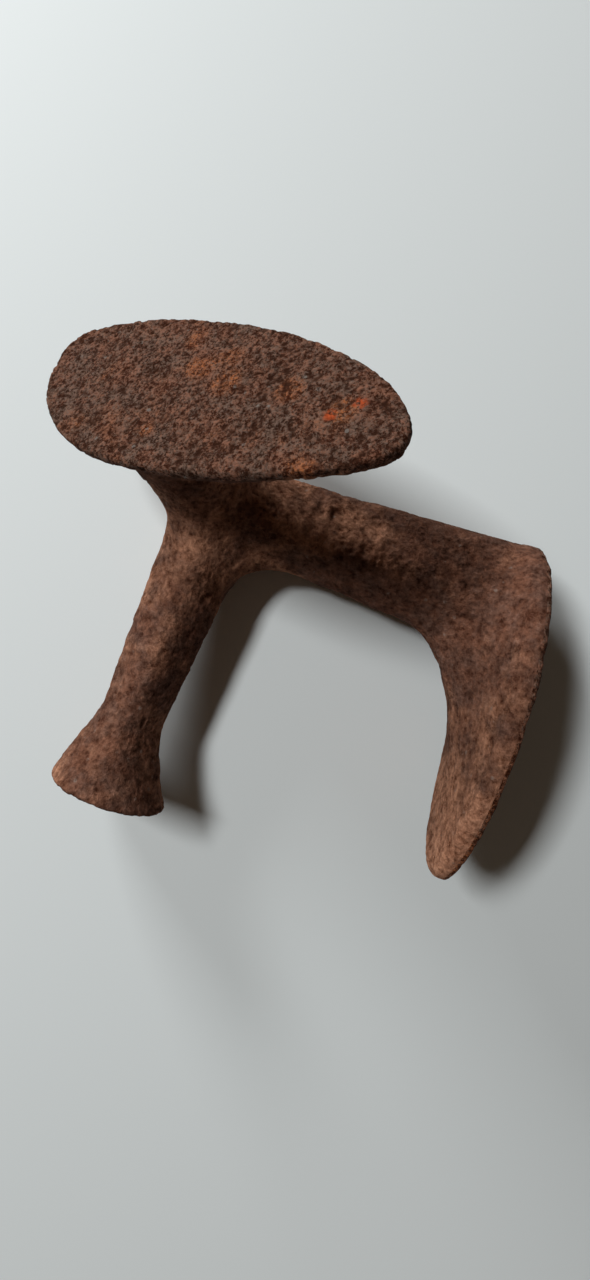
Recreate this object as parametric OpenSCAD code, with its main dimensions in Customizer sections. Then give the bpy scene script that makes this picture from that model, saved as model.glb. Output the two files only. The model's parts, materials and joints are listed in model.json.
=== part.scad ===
// Cobbler's anvil: a three-footed shoe last, cast in iron.
// Three legs run from one hub to a large sole, a small sole and a round heel. The casting is divided
// into hub, legs and feet, which meet face to face. It is shaped in a pattern frame, with the hub's
// centre at the origin and +Z out of the large sole, and then laid down as it lies on a bench:
// on the hub, the rim of the heel foot and the edge of the small sole.

/* [Hub] */
// Radius of the ball that the legs grow from
hub_r = 22; // [20:0.5:26]
// How far a leg's seam lies outside the thickest leg
seam_margin = 5; // [1:0.5:7]

/* [Large foot] */
// Length of the large sole, heel end to toe
large_len = 169; // [150:1:200]
// Half width of the large sole on its outer side
large_outer_w = 29; // [24:0.5:40]
// Half width of the large sole on its inner side
large_inner_w = 39.5; // [30:0.5:48]
// How far the sole's middle lies ahead of its leg
large_ahead = 20.5; // [10:0.5:34]
// How far the sole's middle lies beside its leg
large_aside = 14; // [0:0.5:16]
// Thickness of the large sole at its edge
large_edge = 5; // [4:0.5:7]
// Hub centre to the large working face
large_rise = 70; // [69:0.5:90]
// Diameter of the large leg
large_leg_d = 40.5; // [34:0.5:44]
// Depth of the flare that joins leg and sole
large_flare = 38; // [20:1:40]
// Turn of the large sole on its leg
large_turn = -21; // [-30:0.5:0]

/* [Small foot] */
// Length of the small sole, heel end to toe
small_len = 148; // [140:1:160]
// Half width of the small sole on its outer side
small_outer_w = 31.5; // [30:0.5:38]
// Half width of the small sole on its inner side
small_inner_w = 39; // [32:0.5:44]
// How far the sole's middle lies ahead of its leg
small_ahead = 47.5; // [40:0.5:49]
// How far the sole's middle lies beside its leg
small_aside = 0.5; // [-2:0.5:4]
// Thickness of the small sole at its edge
small_edge = 8; // [5:0.5:10]
// Hub centre to the small working face
small_reach = 145; // [130:0.5:165]
// Thickness of the small leg at the hub, in the direction of the toe
small_root_w = 42; // [38:0.5:44]
// Thickness of the small leg at the hub, across the toe
small_root_h = 38.5; // [36:0.5:44]
// Thickness of the small leg at its flare, in the direction of the toe
small_leg_w = 49; // [44:0.5:51]
// Thickness of the small leg at its flare, across the toe
small_leg_h = 40.5; // [38:0.5:43]
// Depth of the flare that joins leg and sole
small_flare = 55; // [40:1:70]
// Direction of the small leg, round the large leg
small_azimuth = -3.5; // [-15:0.5:5]
// Drop of the small leg below the square
small_drop = 27; // [15:0.5:32]
// Turn of the small sole on its leg
small_turn = 5.5; // [0:0.5:12]

/* [Heel foot] */
// Diameter of the heel face
heel_face_d = 52.5; // [46:0.5:66]
// Hub centre to the heel face
heel_reach = 140; // [125:0.5:155]
// Diameter of the heel leg at the hub's centre
heel_root_d = 39; // [34:1:43]
// Diameter of the heel leg at its waist
heel_waist_d = 28; // [24:1:34]
// Length of the bell between waist and face
heel_flare = 36; // [28:0.5:48]
// Rounding of the rim of the heel face
heel_rim = 2; // [1:0.5:4]
// Direction of the heel leg, round the large leg
heel_azimuth = -104; // [-110:1:-90]
// Drop of the heel leg below the square
heel_drop = 12.5; // [0:0.5:14]

/* [Casting] */
// How much thicker a sole grows towards its leg
crown = 4; // [2:0.5:6]
// Rounding of a flare: lower values hug the leg and the sole
flare_power = 0.49; // [0.4:0.01:0.6]
// Heading of the whole part, as it lies
heading = -11; // [-180:1:180]

/* [Hidden] */
rust = "#5a3a2e";
rust_dark = "#4a3028";
rust_bright = "#6b4430";

// Points round a sole, rings in a flare, steps in the heel's bell, and facets of round solids
sole_points = 72;
flare_rings = 11;
bell_steps = 10;
$fn = 96;

// The share by which a sole's half width shrinks from its middle to its toe, on its outer and inner sides
large_outer_taper = -0.15;
large_inner_taper = 0.37;
small_outer_taper = -0.02;
small_inner_taper = 0.28;
// Lower values make a sole's ends blunter
end_power = 1.05;
// Rings crowd towards the leg, where a flare turns fastest
ring_power = 2.4;
// How slowly a flare reaches its full depth as the sole stands out from the leg
flare_ease = 20;
// Shape of the heel's bell: higher values hug the waist for longer
bell_power = 1.4;

// A leg's seam lies on a plane across the leg, outside every other leg
leg_radii = [large_leg_d, heel_root_d, small_root_w, small_root_h] / 2;
hub_reach = max(hub_r, max(leg_radii)) + seam_margin;
heel_waist_at = heel_reach - heel_flare;
heel_seam_r = heel_root_d / 2 + (heel_waist_d - heel_root_d) / 2 * hub_reach / heel_waist_at;
// The small sole's toe points along the heel leg before it is turned
small_toe_turn = small_turn - 90;
// Rounds in which the resting pose settles
rest_steps = 12;

// A sole's outline, toe along +X, its leg's axis at the origin
function sole_outline(len, left_w, left_taper, right_w, right_taper, ahead, aside) =
    [for (i = [0 : sole_points - 1])
        let (t = 360 * i / sole_points,
             half = sin(t) > 0 ? left_w * (1 - left_taper * cos(t)) : right_w * (1 - right_taper * cos(t)))
        [ahead + len / 2 * cos(t), aside + sign(sin(t)) * half * pow(abs(sin(t)), end_power)]];

large_outline = sole_outline(large_len, large_outer_w, large_outer_taper, large_inner_w, large_inner_taper,
                             large_ahead, large_aside);
small_outline = sole_outline(small_len, small_outer_w, small_outer_taper, small_inner_w, small_inner_taper,
                             small_ahead, small_aside);

// Where the leg's oval lies in the direction of each outline point
function leg_oval(outline, w, h) =
    [for (p = outline)
        let (a = atan2(p.y, p.x), x = w / 2, y = h / 2)
        x * y / norm([y * cos(a), x * sin(a)]) * [cos(a), sin(a)]];

large_oval = leg_oval(large_outline, large_leg_d, large_leg_d);
small_root_oval = leg_oval(small_outline, small_root_w, small_root_h);
small_oval = leg_oval(small_outline, small_leg_w, small_leg_h);

// A flare falls from 1 at the leg to 0 at the sole's edge, tangent to both
function flare_fall(w) = pow(1 - pow(w, flare_power), 1 / flare_power);

// One ring of a flared leg: w goes from 0 on the leg to 1 at the sole's edge
function flare_ring(outline, oval, back, flare, w) =
    [for (i = [0 : len(outline) - 1])
        let (stand = max(norm(outline[i]) - norm(oval[i]), 0),
             depth = flare * stand / (stand + flare_ease),
             p = oval[i] * (1 - w) + outline[i] * w)
        [p.x, p.y, back - depth * flare_fall(w) - crown * (1 - w)]];

// Directions and places of the legs in the pattern frame
function turned(p, a) = [p.x * cos(a) - p.y * sin(a), p.x * sin(a) + p.y * cos(a), p.z];
function tipped(p, a) = [p.x * cos(a) + p.z * sin(a), p.y, p.z * cos(a) - p.x * sin(a)];
function placed(p, azimuth, drop, turn) = turned(tipped(turned(p, turn), 90 + drop), azimuth);

heel_dir = placed([0, 0, 1], heel_azimuth, heel_drop, 0);
large_rim = [for (z = [large_rise - large_edge, large_rise], p = large_outline)
    turned([p.x, p.y, z], large_turn)];
small_rim = [for (z = [small_reach - small_edge, small_reach], p = small_outline)
    placed([p.x, p.y, z], small_azimuth, small_drop, small_toe_turn)];
heel_rim_circle = [for (i = [0 : $fn - 1])
    let (a = 360 * i / $fn, r = heel_face_d / 2)
    placed([r * cos(a), r * sin(a), heel_reach - heel_rim], heel_azimuth, heel_drop, 0)];

// The bench touches the hub's ball, the heel foot's rim and the small sole's rim
function heel_low(up) =
    let (side = up - (up * heel_dir) * heel_dir)
    heel_dir * (heel_reach - heel_rim) - side / norm(side) * heel_face_d / 2;
function small_low(up) =
    let (heights = [for (p = small_rim) p * up], lowest = min(heights))
    small_rim[search(lowest, heights)[0]];
function bench_up(a, b) =
    let (aa = a * a, ab = a * b, bb = b * b, det = aa * bb - ab * ab,
         flat = -hub_r * ((bb - ab) * a + (aa - ab) * b) / det,
         side = cross(a, b) / sqrt(det) * sign(cross(a, b).z))
    flat + sqrt(1 - flat * flat) * side;
function resting_up(up, steps) =
    steps == 0 ? up : resting_up(bench_up(heel_low(up), small_low(up)), steps - 1);

up = resting_up([0, 0, 1], rest_steps);
up_azimuth = atan2(up.y, up.x);
up_lean = acos(up.z);
function laid(p) = turned(tipped(turned(p, -up_azimuth), -up_lean), up_azimuth + heading);
footprint = [for (p = concat(large_rim, small_rim, heel_rim_circle)) laid(p)];
xs = [for (p = footprint) p.x];
ys = [for (p = footprint) p.y];
middle = [(min(xs) + max(xs)) / 2, (min(ys) + max(ys)) / 2];

// Lays the pattern down on the bench, with the origin at the middle of its footprint
module lie() {
    translate([-middle.x, -middle.y, hub_r])
        rotate(up_azimuth + heading) rotate([0, -up_lean, 0]) rotate(-up_azimuth) children();
}

// Turns +Z along a leg and +X along its sole's toe
module on_leg(azimuth, drop, turn) {
    rotate([0, 90 + drop, azimuth]) rotate(turn) children();
}

module on_large_leg() { rotate(large_turn) children(); }
module on_small_leg() { on_leg(small_azimuth, small_drop, small_toe_turn) children(); }
module on_heel_leg() { on_leg(heel_azimuth, heel_drop, 0) children(); }

// A closed skin over rings of equal length, from the lowest ring to the highest
module loft(rings) {
    n = len(rings[0]);
    last = len(rings) - 1;
    sides = [for (r = [0 : last - 1], i = [0 : n - 1])
        let (j = (i + 1) % n, a = r * n, b = a + n)
        each [[a + i, b + i, a + j], [a + j, b + i, b + j]]];
    floor_face = [for (i = [0 : n - 1]) i];
    roof_face = [for (i = [n - 1 : -1 : 0]) last * n + i];
    polyhedron([for (ring = rings) each ring], concat(sides, [floor_face, roof_face]));
}

// A leg that runs from its root oval at the seam to the oval where it flares into the back of a sole
module flared_leg(outline, root_oval, oval, back, flare) {
    root = [for (p = root_oval) [p.x, p.y, hub_reach]];
    flares = [for (i = [0 : flare_rings])
        flare_ring(outline, oval, back, flare, pow(i / flare_rings, ring_power))];
    loft(concat([root], flares));
}

module hub() {
    color(rust_dark) lie() {
        sphere(hub_r);
        on_large_leg() cylinder(hub_reach, r = large_leg_d / 2);
        on_heel_leg() cylinder(hub_reach, heel_root_d / 2, heel_seam_r);
        on_small_leg() linear_extrude(hub_reach) polygon(small_root_oval);
    }
}

module large_leg() {
    color(rust) lie() on_large_leg()
        flared_leg(large_outline, large_oval, large_oval, large_rise - large_edge, large_flare);
}

module large_sole() {
    color(rust_dark) lie() on_large_leg()
        translate([0, 0, large_rise - large_edge]) linear_extrude(large_edge) polygon(large_outline);
}

module small_leg() {
    color(rust) lie() on_small_leg()
        flared_leg(small_outline, small_root_oval, small_oval, small_reach - small_edge, small_flare);
}

module small_sole() {
    color(rust_bright) lie() on_small_leg()
        translate([0, 0, small_reach - small_edge]) linear_extrude(small_edge) polygon(small_outline);
}

module heel_leg() {
    color(rust) lie() on_heel_leg()
        translate([0, 0, hub_reach]) cylinder(heel_waist_at - hub_reach, heel_seam_r, heel_waist_d / 2);
}

module heel_foot() {
    bell_len = heel_flare - heel_rim;
    bell = [for (i = [0 : bell_steps])
        let (v = i / bell_steps, d = heel_waist_d + (heel_face_d - heel_waist_d) * pow(v, bell_power))
        [d / 2, heel_waist_at + bell_len * v]];
    face = [[heel_face_d / 2 - heel_rim, heel_reach], [0, heel_reach], [0, heel_waist_at]];
    color(rust_bright) lie() on_heel_leg() rotate_extrude() polygon(concat(bell, face));
}

hub();
large_leg();
large_sole();
small_leg();
small_sole();
heel_leg();
heel_foot();
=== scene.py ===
"""Cobbler's anvil: the rusted skin of a three-footed shoe last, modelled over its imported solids.

The real thing is one iron casting. Its hub, legs and feet are closed skins that meet at the solids' seams,
run on smoothly across them and share one rust finish. All sizes are in metres, in the solids' own frame.
"""

import json
from functools import partial
from typing import NamedTuple

import bpy
import numpy as np
from mathutils import Matrix, Vector


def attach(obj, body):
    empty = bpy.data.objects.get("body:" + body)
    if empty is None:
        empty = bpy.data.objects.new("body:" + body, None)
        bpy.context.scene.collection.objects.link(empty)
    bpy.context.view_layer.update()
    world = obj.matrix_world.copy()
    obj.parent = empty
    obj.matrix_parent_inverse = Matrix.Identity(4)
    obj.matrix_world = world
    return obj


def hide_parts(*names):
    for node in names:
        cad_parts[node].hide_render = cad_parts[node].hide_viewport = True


bl_info = {
    "name": "Cobbler Anvil",
    "version": (1, 0, 0),
    "blender": (4, 5, 0),
    "location": "View3D > Sidebar > Anvil",
    "description": "Builds the rusted skin of a three-footed cobbler's anvil over its solids",
    "category": "Object",
}

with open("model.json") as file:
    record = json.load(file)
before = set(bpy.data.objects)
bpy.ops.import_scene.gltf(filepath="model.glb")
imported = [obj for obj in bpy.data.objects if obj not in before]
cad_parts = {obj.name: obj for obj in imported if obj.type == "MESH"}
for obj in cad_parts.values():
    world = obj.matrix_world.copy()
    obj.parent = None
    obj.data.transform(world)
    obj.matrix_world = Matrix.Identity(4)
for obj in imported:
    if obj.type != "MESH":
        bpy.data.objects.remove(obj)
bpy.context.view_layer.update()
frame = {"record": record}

MM = 0.001
TINY = 1e-9


# Settings

def length(label, about, mm):
    """A length setting, given in millimetres."""
    return bpy.props.FloatProperty(name=label, description=about, default=mm * MM, precision=4,
                                   subtype="DISTANCE", unit="LENGTH")


def angle(label, about, degrees):
    """An angle setting, given in degrees."""
    return bpy.props.FloatProperty(name=label, description=about, default=float(np.radians(degrees)),
                                   subtype="ANGLE", unit="ROTATION")


def share(label, about, value):
    """A plain number setting."""
    return bpy.props.FloatProperty(name=label, description=about, default=value, precision=3)


def count(label, about, number):
    """A whole number setting."""
    return bpy.props.IntProperty(name=label, description=about, default=number)


def place(label, about, mm):
    """A point setting, given in millimetres."""
    return bpy.props.FloatVectorProperty(name=label, description=about, size=3, subtype="XYZ",
                                         unit="LENGTH", default=[v * MM for v in mm])


def colour(label, about, rgb):
    """A colour setting, in linear light."""
    return bpy.props.FloatVectorProperty(name=label, description=about, size=3, subtype="COLOR",
                                         min=0, max=1, default=rgb)


def paired(names, settings):
    """Two settings groups that differ only in their values. Each setting has its kind, its name, its
    description, and a value for each of the two."""
    groups = []
    for which, name in enumerate(names):
        made = {key: kind(label, about, values[which])
                for key, (kind, label, about, *values) in settings.items()}
        groups.append(type(name, (bpy.types.PropertyGroup,), {"__annotations__": made}))
    return groups


class AnvilHubSizes(bpy.types.PropertyGroup):
    ball: length("Ball", "Radius of the ball that the legs grow from", 22)
    reach: length("Reach", "Hub centre to each leg's seam", 27)
    fillet: length("Fillet", "Rounding in the corner between two legs", 28)
    soft: length("Soft", "Rounding where a leg leaves the ball", 2)
    warmth: share("Warmth", "Share of the lighter rust on the hub", 0.6)
    fade: length("Fade", "Length over which the legs take on the hub's colour", 40)


AnvilLargeFootSizes, AnvilSmallFootSizes = paired(("AnvilLargeFootSizes", "AnvilSmallFootSizes"), {
    "columns": (count, "Columns", "Points round the foot", 600, 450),
    "length": (length, "Length", "Heel end to toe", 170.5, 152),
    "outer_width": (length, "Outer half width", "Half width on the outer side", 29.8, 31.5),
    "inner_width": (length, "Inner half width", "Half width on the inner side", 40.3, 42),
    "outer_taper": (share, "Outer taper", "Share by which the outer side narrows to the toe", -0.15, -0.02),
    "inner_taper": (share, "Inner taper", "Share by which the inner side narrows to the toe", 0.37, 0.2),
    "ahead": (length, "Ahead", "How far the sole's middle lies ahead of its leg", 20.5, 49.5),
    "aside": (length, "Aside", "How far the sole's middle lies beside its leg", 14, 0.5),
    "edge": (length, "Edge", "Thickness of the sole at its edge", 5, 8),
    "back_round": (length, "Back rounding", "Rounding of the edge on the leg's side", 1.5, 5.5),
    "reach": (length, "Reach", "Hub centre to the working face", 70, 145),
    "root_width": (length, "Root width", "Leg's thickness at the hub, towards the toe", 40.5, 38.5),
    "root_depth": (length, "Root depth", "Leg's thickness at the hub, across the toe", 40.5, 38.5),
    "leg_width": (length, "Leg width", "Leg's thickness at the flare, towards the toe", 40.5, 49),
    "leg_depth": (length, "Leg depth", "Leg's thickness at the flare, across the toe", 40.5, 40.5),
    "flare": (length, "Flare", "Depth of the flare that joins leg and sole", 38, 55),
    "square": (share, "Squareness", "2 makes a round leg, and more a squarer one", 2, 3.2),
    "ridge": (angle, "Ridge", "Angle of a square leg's ridge from the toe", 0, -63),
    "turn": (angle, "Turn", "Angle of the toe round the leg", 83, -84.5),
    "toe_bend": (length, "Toe bend", "How far the toe's tip bends back", 0, 4.2),
    "rough": (share, "Roughness", "Share of the rust's relief", 0.9, 0.75),
    "fine": (share, "Fineness", "Size of the small pits, as a share of the usual one", 0.65, 1),
})


class AnvilHeelFootSizes(bpy.types.PropertyGroup):
    reach: length("Reach", "Hub centre to the heel face", 140)
    root: length("Root", "Leg's thickness at the hub's centre", 38)
    waist: length("Waist", "Leg's thickness at its waist", 27)
    face: length("Face", "Width of the heel face", 51.5)
    flare: length("Flare", "Length of the bell between waist and face", 36)
    square: share("Squareness", "2 makes a round leg, and more a squarer one", 3.2)
    ridge: angle("Ridge", "Angle of a square leg's ridge round the leg", 144)
    bell_power: share("Bell power", "Higher values hug the waist for longer", 1.35)
    drift: length("Drift", "How far the heel face lies aside from its leg's axis", 3.5)
    drift_power: share("Drift power", "Higher values keep the drift nearer to the face", 2.5)
    warmth: share("Warmth", "Share of the lighter rust on the leg", 0.2)
    bell_warmth: share("Bell warmth", "How much that share grows towards the face", 0.25)


class AnvilScabSizes(bpy.types.PropertyGroup):
    out: length("Out", "Hub centre to the middle of the small leg's scab", 58)
    full_length: length("Full length", "Half length of the scab's full strength", 10)
    length: length("Length", "Half length at which the scab ends", 34)
    full_width: length("Full width", "Half width of the scab's full strength", 6)
    width: length("Width", "Half width at which the scab ends", 17)
    start: length("Start", "How far up the leg's side the scab starts", 4)
    full_start: length("Full start", "How far up the leg's side it has its full strength", 16)
    score: length("Score", "Height of the ridges across the scab", 1)
    rough: share("Roughness", "What the scab adds to the share of relief", 0.3)
    warmth: share("Warmth", "Share of the lighter rust on the scab", 0.9)


class AnvilCastingSizes(bpy.types.PropertyGroup):
    crown: length("Crown", "How much thicker a sole grows towards its leg", 4)
    flare_power: share("Flare power", "Lower values make a flare hug the leg and the sole", 0.49)
    flare_ease: length("Flare ease", "How slowly a flare reaches its full depth", 20)
    end_power: share("End power", "Lower values make a sole's ends blunter", 1.05)
    edge_round: length("Edge rounding", "Rounding that rust has given the edges", 1.6)
    grid_step: length("Grid step", "Spacing of the skins' points", 0.7)


class AnvilRustSizes(bpy.types.PropertyGroup):
    wave: length("Wave", "Height of the casting's broad unevenness", 0.3)
    lump: length("Lump", "Height of lumps of scale", 0.45)
    pit: length("Pit", "Depth of the small pits", 0.6)
    crater: length("Crater", "Depth of the coarse pits", 0.5)
    grain: length("Grain", "Height of the grains", 0.25)
    rough: share("Roughness", "Share of the relief on the hub and the heel", 0.75)
    # The pits' colour: the rust's own dark colour there, and painted shade in the hollows
    dark: colour("Dark rust", "Colour in the pits", (0.045, 0.016, 0.008))
    body: colour("Brown rust", "Main colour of the skin", (0.185, 0.077, 0.044))
    fresh: colour("Fresh rust", "Colour of the few bright spots", (0.560, 0.100, 0.030))
    # Pale dust on the grain tops, with a painted highlight there
    dust_and_highlight: colour("Dust", "Colour on the tops of the grains", (0.330, 0.220, 0.168))


AnvilSoleFinish, AnvilLegFinish = paired(("AnvilSoleFinish", "AnvilLegFinish"), {
    "grain": (length, "Grain size", "Size of the grains", 0.85, 1.9),
    # Contrast also sets how strongly light is painted on the high grains and shade in the low grains and the
    # pits
    "contrast": (share, "Contrast", "How much light and dark grains differ", 10, 3.7),
    "variety": (share, "Variety", "How much the hue changes from grain to grain", 1.3, 0.5),
    "bump": (share, "Bump", "Strength of the grains' bump", 1.6, 1.2),
    "tone": (share, "Tone", "Share of the colours' brightness", 1.08, 0.78),
    "shade": (colour, "Deep rust", "Colour of the greyer or deeper areas",
              (0.128, 0.076, 0.053), (0.135, 0.067, 0.045)),
    "warm": (colour, "Warm rust", "Colour of the orange or lighter areas",
             (0.330, 0.100, 0.030), (0.510, 0.238, 0.134)),
})

AnvilWindow, AnvilDoor = paired(("AnvilWindow", "AnvilDoor"), {
    "place": (place, "Place", "Middle of the light", (-1120, 760, 1730), (-880, 1470, 560)),
    "width": (length, "Width", "Width of the light", 600, 500),
    "height": (length, "Height", "Height of the light", 300, 400),
    "power": (share, "Power", "Power of the light, in watts", 34, 20),
})


class AnvilStageSizes(bpy.types.PropertyGroup):
    camera_place: place("Camera", "Where the camera stands", (-8.9, -10.8, 298.5))
    camera_aim: place("Aim", "The point on the floor that the camera looks straight at", (-0.4, 11, 0))
    focal_pixels: share("Focal length", "Focal length of the camera, in pixels of the picture", 591)
    axis_row: share("Axis row", "Pixel row of the picture that the camera's axis meets", 575.5)
    picture_height: share("Picture height", "Height of the picture, in pixels", 1280)
    floor_half: length("Floor", "Half width of the floor", 3000)
    floor_colour: colour("Floor colour", "Colour of the pale floor", (0.71, 0.76, 0.765))
    sky: share("Sky", "Strength of the light from all round", 0.05)
    sky_colour: colour("Sky colour", "Colour of the light from all round", (1, 0.72, 0.52))


GROUPS = {
    "hub": AnvilHubSizes,
    "large": AnvilLargeFootSizes,
    "small": AnvilSmallFootSizes,
    "heel": AnvilHeelFootSizes,
    "scab": AnvilScabSizes,
    "casting": AnvilCastingSizes,
    "rust": AnvilRustSizes,
    "sole_finish": AnvilSoleFinish,
    "leg_finish": AnvilLegFinish,
    "window": AnvilWindow,
    "door": AnvilDoor,
    "stage": AnvilStageSizes,
}


class AnvilSettings(bpy.types.PropertyGroup):
    __annotations__ = {name: bpy.props.PointerProperty(type=group) for name, group in GROUPS.items()}


# Where the legs run

class Leg(NamedTuple):
    """A leg's directions, and the half widths of its bar at both ends of its taper."""
    axis: np.ndarray
    toe: np.ndarray
    side: np.ndarray
    near: np.ndarray
    far: np.ndarray
    taper_from: float
    taper_to: float
    square: float
    ridge: float


def unit(vectors):
    """Vectors brought to length 1."""
    return vectors / (np.linalg.norm(vectors, axis=-1, keepdims=True) + TINY)


def mount(name):
    """A mount's place and outward direction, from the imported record."""
    found = next(m for m in frame["record"]["mounts"] if m["name"] == name)
    return np.array(found["pos_m"]), unit(np.array(found["axis"]))


def hub_centre(anvil):
    """The point where the three legs' axes meet, back along the heel leg from its face."""
    face, axis = mount("heel_face")
    return face - anvil.heel.reach * axis


def turned(first, second, turn):
    """The direction at an angle from the first of two square directions towards the second."""
    return np.cos(turn) * first + np.sin(turn) * second


def leg_halves(foot):
    """Half widths of a foot's leg, at the hub and at the flare."""
    return np.array([[foot.root_width, foot.root_depth], [foot.leg_width, foot.leg_depth]]) / 2


def foot_leg(axis, toe, foot, hub_reach):
    """The leg of a sole: its bar tapers from the root at the seam to the flare."""
    flare_from = foot.reach - foot.edge - foot.flare / 2
    side = np.cross(axis, toe)
    return Leg(axis, toe, side, *leg_halves(foot), hub_reach, flare_from, foot.square, foot.ridge)


def anvil_legs(anvil):
    """The three legs by name. Their axes are the mounts' directions. The large toe is turned from the heel
    leg, and the small toe from the way down its leg."""
    heel = anvil.heel
    up, small_axis, heel_axis = (mount(n)[1] for n in ("large_face", "small_face", "heel_face"))
    heel_side = unit(np.cross(up, heel_axis))
    large_toe = turned(np.cross(heel_side, up), heel_side, anvil.large.turn)
    small_side = unit(np.cross(up, small_axis))
    small_toe = turned(np.cross(small_side, small_axis), small_side, anvil.small.turn)
    root, waist = (np.array([d, d]) / 2 for d in (heel.root, heel.waist))
    heel_toe = np.cross(heel_side, heel_axis)
    waist_at = heel.reach - heel.flare
    return {
        "large": foot_leg(up, large_toe, anvil.large, anvil.hub.reach),
        "small": foot_leg(small_axis, small_toe, anvil.small, anvil.hub.reach),
        "heel": Leg(heel_axis, heel_toe, heel_side, root, waist, 0, waist_at, heel.square, heel.ridge),
    }


def from_leg(leg, hub, local):
    """Points in the solids' frame, given towards the toe, towards the side and out along the axis."""
    return hub + local @ np.stack([leg.toe, leg.side, leg.axis])


def ridged(turn, square, ridge):
    """Share of a round leg's radius at an angle: a rounded square, where the powers of both coordinates
    add up to 1, with a corner at the ridge. Its sides lie as far inside the round leg as its corners lie
    outside."""
    cos, sin = np.cos(turn - ridge + np.pi / 4), np.sin(turn - ridge + np.pi / 4)
    corner = 2 ** (0.5 - 1 / square)
    return (np.abs(cos) ** square + np.abs(sin) ** square) ** (-1 / square) * 2 / (1 + corner)


# Fields that round the corners between the legs

def bar_halves(leg, out):
    """Half widths of a leg's bar at a distance along its axis."""
    taper = np.clip((out - leg.taper_from) / (leg.taper_to - leg.taper_from), 0, 1)
    return [near + taper * (far - near) for near, far in zip(leg.near, leg.far)]


def bar_field(points, leg, hub):
    """How far points lie outside a leg's bar, and about which way its skin faces there. The bar is a ridged
    oval that tapers along the axis, and behind the hub's centre it ends in a dome."""
    apart = points - hub
    out, toe, side = apart @ leg.axis, apart @ leg.toe, apart @ leg.side
    a, b = bar_halves(leg, out)
    across = np.hypot(toe, side) + TINY
    oval = a * b * across / (np.hypot(b * toe, a * side) + TINY * MM)
    oval = oval * ridged(np.arctan2(side, toe), leg.square, leg.ridge)
    behind = np.minimum(out, 0)
    facing = np.stack([toe / a ** 2, side / b ** 2, behind / (a * b)], -1)
    return np.hypot(across, behind) - oval, unit(facing @ np.stack([leg.toe, leg.side, leg.axis]))


def ball_field(points, radius, hub):
    """How far points lie outside the hub's ball, and which way its skin faces."""
    apart = points - hub
    return np.linalg.norm(apart, axis=-1) - radius, unit(apart)


def joined(one, other, hub_sizes):
    """The smooth union of two fields: the lesser of both, less a quarter of the rounding times the square of
    how nearly they are equal. The rounding fades where both skins face the same way."""
    (f, n), (g, m) = one, other
    alike = np.clip((n * m).sum(-1), 0, 1)
    rounding = hub_sizes.fillet * (1 - alike) + hub_sizes.soft
    near = np.clip(1 - np.abs(f - g) / rounding, 0, 1)
    first = np.clip(0.5 + (g - f) / (2 * rounding), 0, 1)[..., None]
    return np.minimum(f, g) - rounding / 4 * near ** 2, unit(first * n + (1 - first) * m)


def casting_field(points, legs, hub, hub_sizes, own=None):
    """The smooth union of the hub's ball and the three bars. One leg's own distances may stand in for its
    bar's."""
    field = ball_field(points, hub_sizes.ball, hub)
    for leg in legs:
        distance, facing = bar_field(points, leg, hub)
        if own and own[0] is leg:
            distance = own[1]
        field = joined(field, (distance, facing), hub_sizes)
    return field[0]


def bisected(inside, low, high, rounds=26):
    """Where a test over arrays turns from inside to outside, by halving the span between low and high."""
    for _ in range(rounds):
        middle = (low + high) / 2
        within = inside(middle)
        low = np.where(within, middle, low)
        high = np.where(within, high, middle)
    return (low + high) / 2


def filleted(points, leg, legs, hub, hub_sizes):
    """A leg's rings pushed out from its axis to the smooth union with the ball and the other two legs."""
    apart = points - hub
    ways = unit(apart - (apart @ leg.axis)[..., None] * leg.axis)

    def inside(push):
        """Whether points pushed this far still lie in the union. Their own leg's distance is the push."""
        return casting_field(points + ways * push[..., None], legs, hub, hub_sizes, (leg, push)) < 0
    most = np.full(points.shape[:-1], hub_sizes.fillet)
    return points + ways * bisected(inside, np.zeros_like(most), most)[..., None]


# Noise

# Odd numbers that mix bits well
MIXERS = [np.uint32(number) for number in (374761393, 668265263, 2246822519, 3266489917)]


def hashed(cell, seed):
    """Whole-number cells mixed into a repeatable value from 0 to 1."""
    first, second, third, fourth = MIXERS
    x, y, z = (cell[..., i].astype(np.int64).astype(np.uint32) for i in range(3))
    bits = x * first + y * second + z * third
    bits = bits + np.uint32(seed * int(fourth) % 2 ** 32)
    bits = (bits ^ (bits >> np.uint32(15))) * third
    bits = (bits ^ (bits >> np.uint32(13))) * fourth
    return (bits ^ (bits >> np.uint32(16))) / 2.0 ** 32


def soft_noise(points, size, seed):
    """Smooth noise from -1 to 1: values at the corners of cells, blended by an eased share of each side."""
    scaled = points / size
    cell = np.floor(scaled)
    part = scaled - cell
    ease = part ** 3 * (part * (part * 6 - 15) + 10)
    total = 0
    for corner in np.ndindex(2, 2, 2):
        weight = np.where(corner, ease, 1 - ease).prod(-1)
        total = total + weight * hashed(cell + np.array(corner), seed)
    return total * 2 - 1


def cell_noise(points, size, seed):
    """Distance to the nearest of points strewn one to a cell, in cells, and that point's random value."""
    scaled = points / size
    cell = np.floor(scaled)
    nearest = np.full(points.shape[:-1], np.inf)
    value = np.zeros(points.shape[:-1])
    for step in np.ndindex(3, 3, 3):
        there = cell + np.array(step) - 1
        strewn = there + np.stack([hashed(there, seed + i) for i in range(3)], -1)
        distance = np.linalg.norm(strewn - scaled, axis=-1)
        closer = distance < nearest
        nearest = np.where(closer, distance, nearest)
        value = np.where(closer, hashed(there, seed + 3), value)
    return nearest, value


def smooth_step(value, low, high):
    """0 below low, 1 above high, and eased between them."""
    t = np.clip((value - low) / (high - low), 0, 1)
    return t * t * (3 - 2 * t)


def layered(points, sizes, smaller, seed):
    """Smooth noise of one size, plus a share of noise of a smaller size."""
    large, small = sizes
    return soft_noise(points, large, seed) + smaller * soft_noise(points, small, seed + 1)


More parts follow.
